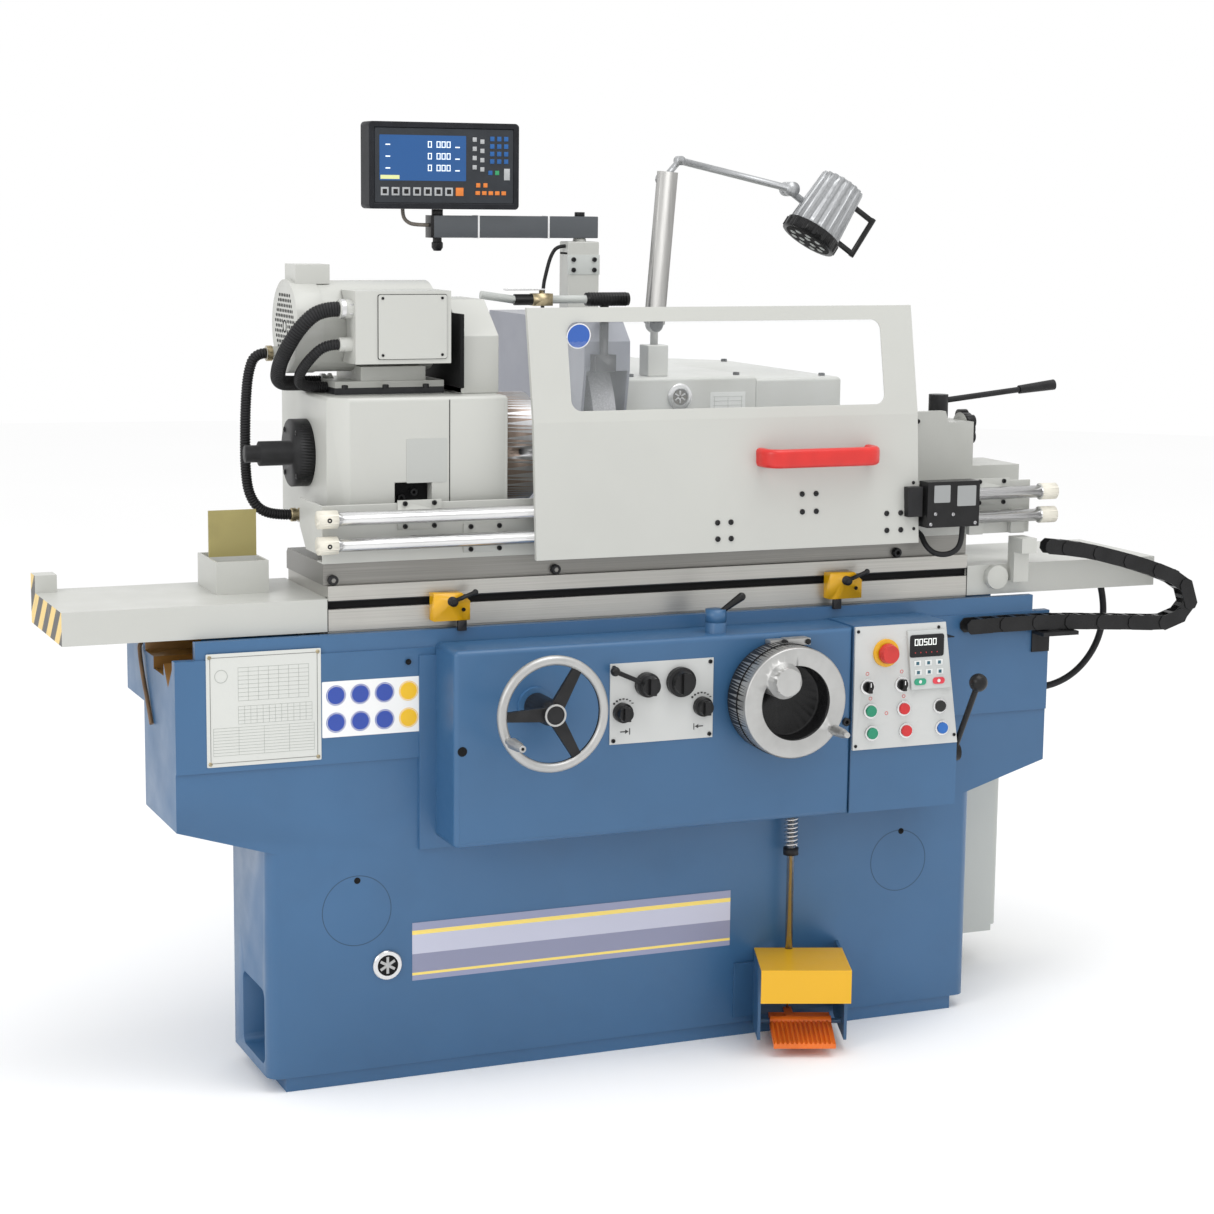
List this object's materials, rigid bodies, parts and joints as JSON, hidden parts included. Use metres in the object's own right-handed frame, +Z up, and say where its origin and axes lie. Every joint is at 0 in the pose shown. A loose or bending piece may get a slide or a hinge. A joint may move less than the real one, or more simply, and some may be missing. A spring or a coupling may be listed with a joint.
{
  "type": "cylindrical grinding machine",
  "caption": "Cylindrical grinder: bed with sliding swivel table, workhead, tailstock, wheelhead, splash guard, lamp, readout and hand controls.",
  "frame": {"origin": "on the floor, at the middle of the bed's foot", "axes": "+X along the table to the operator's right, +Y to the rear, +Z up"},
  "size_m": [2.33, 1.4008, 1.784],
  "materials": {
    "bed_blue": "satin",
    "cover_grey": "satin",
    "hood_grey": "satin",
    "dark_paint": "satin",
    "red_paint": "satin",
    "yellow_paint": "satin",
    "orange_paint": "satin",
    "arm_grey": "satin",
    "ground_steel": "satin",
    "chrome": "gloss",
    "anodised": "satin",
    "black_plastic": "matte",
    "green_plastic": "gloss",
    "red_plastic": "gloss",
    "blue_plastic": "gloss",
    "grinding_stone": "matte",
    "clear_pane": "gloss",
    "rubber": "matte",
    "display_case": "matte"
  },
  "bodies": {
    "base": {"bed_casting": "bed_blue", "apron_housing": "bed_blue", "control_panel": "cover_grey", "electrical_cabinet": "cover_grey", "pedal_bracket": "bed_blue", "pedal_guard": "yellow_paint", "pedal_spring": "ground_steel", "drag_chain": "black_plastic", "chain_shelf": "ground_steel", "service_hoses": "rubber"},
    "treadle": {"foot_pedal": "orange_paint"},
    "treadle_rod": {"pedal_rod": "ground_steel"},
    "table_wheel": {"table_handwheel": "chrome"},
    "infeed_wheel": {"infeed_handwheel": "chrome"},
    "starter": {"start_lever": "chrome"},
    "speed_dial": {"speed_knob": "black_plastic"},
    "left_dwell_dial": {"left_dwell_knob": "black_plastic"},
    "right_dwell_dial": {"right_dwell_knob": "black_plastic"},
    "reverser": {"reversing_lever": "chrome"},
    "rapid_handle": {"rapid_lever": "chrome"},
    "stop_button": {"emergency_stop": "red_plastic"},
    "green_upper": {"green_button_upper": "green_plastic"},
    "green_lower": {"green_button_lower": "green_plastic"},
    "red_upper": {"red_button_upper": "red_plastic"},
    "red_lower": {"red_button_lower": "red_plastic"},
    "black_upper": {"black_button": "black_plastic"},
    "blue_lower": {"blue_button": "blue_plastic"},
    "left_switch": {"left_selector": "black_plastic"},
    "right_switch": {"right_selector": "black_plastic"},
    "table": {"lower_table": "ground_steel", "table_covers": "cover_grey"},
    "left_dog": {"left_trip_dog": "yellow_paint"},
    "right_dog": {"right_trip_dog": "yellow_paint"},
    "swivel": {"swivel_table": "ground_steel", "workhead_base": "cover_grey", "tailstock_body": "cover_grey", "guard_rail": "cover_grey", "guard_rods": "chrome", "interlock_switch": "black_plastic", "interlock_cable": "rubber"},
    "workhead": {"workhead_housing": "cover_grey", "workhead_motor": "cover_grey", "workhead_conduits": "rubber"},
    "spindle": {"work_spindle": "ground_steel"},
    "quill": {"tailstock_quill": "ground_steel"},
    "quill_lever": {"tailstock_lever": "chrome"},
    "guard": {"guard_sheet": "cover_grey", "guard_window": "clear_pane", "guard_handle": "red_paint"},
    "wheelhead": {"wheelhead_body": "cover_grey", "wheel_guard": "hood_grey", "coolant_pipe": "anodised", "display_cable": "rubber"},
    "wheel": {"grinding_wheel": "grinding_stone"},
    "valve_lever": {"coolant_lever": "red_paint"},
    "lamp_lower": {"lamp_post": "anodised"},
    "lamp_upper": {"lamp_arm": "anodised"},
    "lamp": {"lamp_head": "anodised"},
    "readout_arm": {"display_arm": "arm_grey"},
    "readout": {"display_unit": "display_case"}
  },
  "joints": [
    {"name": "table_wheel_turn", "type": "hinge", "parent": "base", "child": "table_wheel", "pos_m": [-0.26, -0.2, 0.719], "axis": [0, 1, 0], "range_deg": [-10100.16, 8657.28]},
    {"name": "table_travel", "type": "slide", "parent": "base", "child": "table", "axis": [1, 0, 0], "range_m": [-0.28, 0.24], "deforming": ["drag_chain", "service_hoses"]},
    {"name": "infeed_wheel_turn", "type": "hinge", "parent": "base", "child": "infeed_wheel", "pos_m": [0.228, -0.2, 0.706], "axis": [0, 1, 0], "range_deg": [-27054, 9018]},
    {"name": "wheelhead_feed", "type": "slide", "parent": "base", "child": "wheelhead", "axis": [0, 1, 0], "range_m": [-0.15, 0.05]},
    {"name": "left_dog_set", "type": "slide", "parent": "table", "child": "left_dog", "axis": [1, 0, 0], "range_m": [-0.15, 0.1]},
    {"name": "right_dog_set", "type": "slide", "parent": "table", "child": "right_dog", "axis": [1, 0, 0], "range_m": [-0.1, 0.15]},
    {"name": "table_swivel", "type": "hinge", "parent": "table", "child": "swivel", "pos_m": [0.054, 0.03, 0.916], "axis": [0, 0, 1], "range_deg": [-3, 9]},
    {"name": "workhead_swivel", "type": "hinge", "parent": "swivel", "child": "workhead", "pos_m": [-0.4235, 0.067, 1.022], "axis": [0, 0, 1], "range_deg": [-5, 5]},
    {"name": "spindle_turn", "type": "hinge", "parent": "workhead", "child": "spindle", "pos_m": [-0.254, 0.095, 1.16], "axis": [1, 0, 0], "continuous": true},
    {"name": "quill_lever_turn", "type": "hinge", "parent": "swivel", "child": "quill_lever", "pos_m": [0.741, 0.0725, 1.19], "axis": [0, 0, -1], "range_deg": [0, 60]},
    {"name": "quill_draw", "type": "slide", "parent": "swivel", "child": "quill", "axis": [1, 0, 0], "range_m": [0, 0.025]},
    {"name": "guard_slide", "type": "slide", "parent": "swivel", "child": "guard", "axis": [-1, 0, 0], "range_m": [0, 0.36]},
    {"name": "wheel_spin", "type": "hinge", "parent": "wheelhead", "child": "wheel", "pos_m": [0.056, 0.46, 1.16], "axis": [1, 0, 0], "continuous": true},
    {"name": "valve_turn", "type": "hinge", "parent": "wheelhead", "child": "valve_lever", "pos_m": [-0.07, 0.235, 1.452], "axis": [0, 0, 1], "range_deg": [0, 90]},
    {"name": "lamp_swivel", "type": "hinge", "parent": "wheelhead", "child": "lamp_lower", "pos_m": [0.221, 0.34, 1.336], "axis": [0, 0, 1], "range_deg": [-60, 60]},
    {"name": "lamp_elbow", "type": "hinge", "parent": "lamp_lower", "child": "lamp_upper", "pos_m": [0.2452, 0.3577, 1.672], "axis": [0, 1, 0], "range_deg": [-30, 30]},
    {"name": "lamp_tilt", "type": "hinge", "parent": "lamp_upper", "child": "lamp", "pos_m": [0.53886, 0.3577, 1.65514], "axis": [0, 1, 0], "range_deg": [-45, 45]},
    {"name": "readout_arm_swing", "type": "hinge", "parent": "wheelhead", "child": "readout_arm", "pos_m": [0.176, 0.64, 1.547], "axis": [0, 0, 1], "range_deg": [-40, 60]},
    {"name": "readout_turn", "type": "hinge", "parent": "readout_arm", "child": "readout", "pos_m": [-0.146, 0.64, 1.606], "axis": [0, 0, 1], "range_deg": [-45, 45]},
    {"name": "treadle_tilt", "type": "hinge", "parent": "base", "child": "treadle", "pos_m": [0.29324, -0.19674, 0.046], "axis": [0.9348, -0.3551, 0], "range_deg": [0, 12]},
    {"name": "treadle_rod_lift", "type": "slide", "parent": "base", "child": "treadle_rod", "axis": [0, 0, 1], "range_m": [0, 0.0113], "deforming": ["pedal_spring"]},
    {"name": "start_lever_turn", "type": "hinge", "parent": "base", "child": "starter", "pos_m": [-0.04, -0.23, 0.744], "axis": [0, 1, 0], "range_deg": [-30, 30]},
    {"name": "speed_turn", "type": "hinge", "parent": "base", "child": "speed_dial", "pos_m": [0.029, -0.23, 0.745], "axis": [0, 1, 0], "range_deg": [-135, 135]},
    {"name": "left_dwell_turn", "type": "hinge", "parent": "base", "child": "left_dwell_dial", "pos_m": [-0.088, -0.23, 0.694], "axis": [0, 1, 0], "range_deg": [-135, 135]},
    {"name": "right_dwell_turn", "type": "hinge", "parent": "base", "child": "right_dwell_dial", "pos_m": [0.075, -0.23, 0.695], "axis": [0, 1, 0], "range_deg": [-135, 135]},
    {"name": "reversing_swing", "type": "hinge", "parent": "base", "child": "reverser", "pos_m": [0.121, -0.19, 0.846], "axis": [0, 0, 1], "range_deg": [-20, 20]},
    {"name": "rapid_lift", "type": "hinge", "parent": "base", "child": "rapid_handle", "pos_m": [0.638, -0.205, 0.56], "axis": [1, 0, 0], "range_deg": [-25, 25]},
    {"name": "stop_push", "type": "slide", "parent": "base", "child": "stop_button", "axis": [0, 1, 0], "range_m": [0, 0.003], "stiffness_N_per_m": 2000},
    {"name": "left_switch_turn", "type": "hinge", "parent": "base", "child": "left_switch", "pos_m": [0.424, -0.235, 0.71], "axis": [0, 1, 0], "range_deg": [-45, 45]},
    {"name": "right_switch_turn", "type": "hinge", "parent": "base", "child": "right_switch", "pos_m": [0.499, -0.235, 0.71], "axis": [0, 1, 0], "range_deg": [-45, 45]},
    {"name": "green_upper_push", "type": "slide", "parent": "base", "child": "green_upper", "axis": [0, 1, 0], "range_m": [0, 0.003], "stiffness_N_per_m": 800},
    {"name": "green_lower_push", "type": "slide", "parent": "base", "child": "green_lower", "axis": [0, 1, 0], "range_m": [0, 0.003], "stiffness_N_per_m": 800},
    {"name": "red_upper_push", "type": "slide", "parent": "base", "child": "red_upper", "axis": [0, 1, 0], "range_m": [0, 0.003], "stiffness_N_per_m": 800},
    {"name": "red_lower_push", "type": "slide", "parent": "base", "child": "red_lower", "axis": [0, 1, 0], "range_m": [0, 0.003], "stiffness_N_per_m": 800},
    {"name": "black_upper_push", "type": "slide", "parent": "base", "child": "black_upper", "axis": [0, 1, 0], "range_m": [0, 0.003], "stiffness_N_per_m": 800},
    {"name": "blue_lower_push", "type": "slide", "parent": "base", "child": "blue_lower", "axis": [0, 1, 0], "range_m": [0, 0.003], "stiffness_N_per_m": 800}
  ],
  "couplings": [
    {"joint": "table_wheel_turn", "follows": "table_travel", "rad_per_m": 628.32},
    {"joint": "infeed_wheel_turn", "follows": "wheelhead_feed", "rad_per_m": 3141.6},
    {"joint": "quill_draw", "follows": "quill_lever_turn", "m_per_rad": 0.023778},
    {"joint": "treadle_rod_lift", "follows": "treadle_tilt", "m_per_rad": 0.0535}
  ]
}
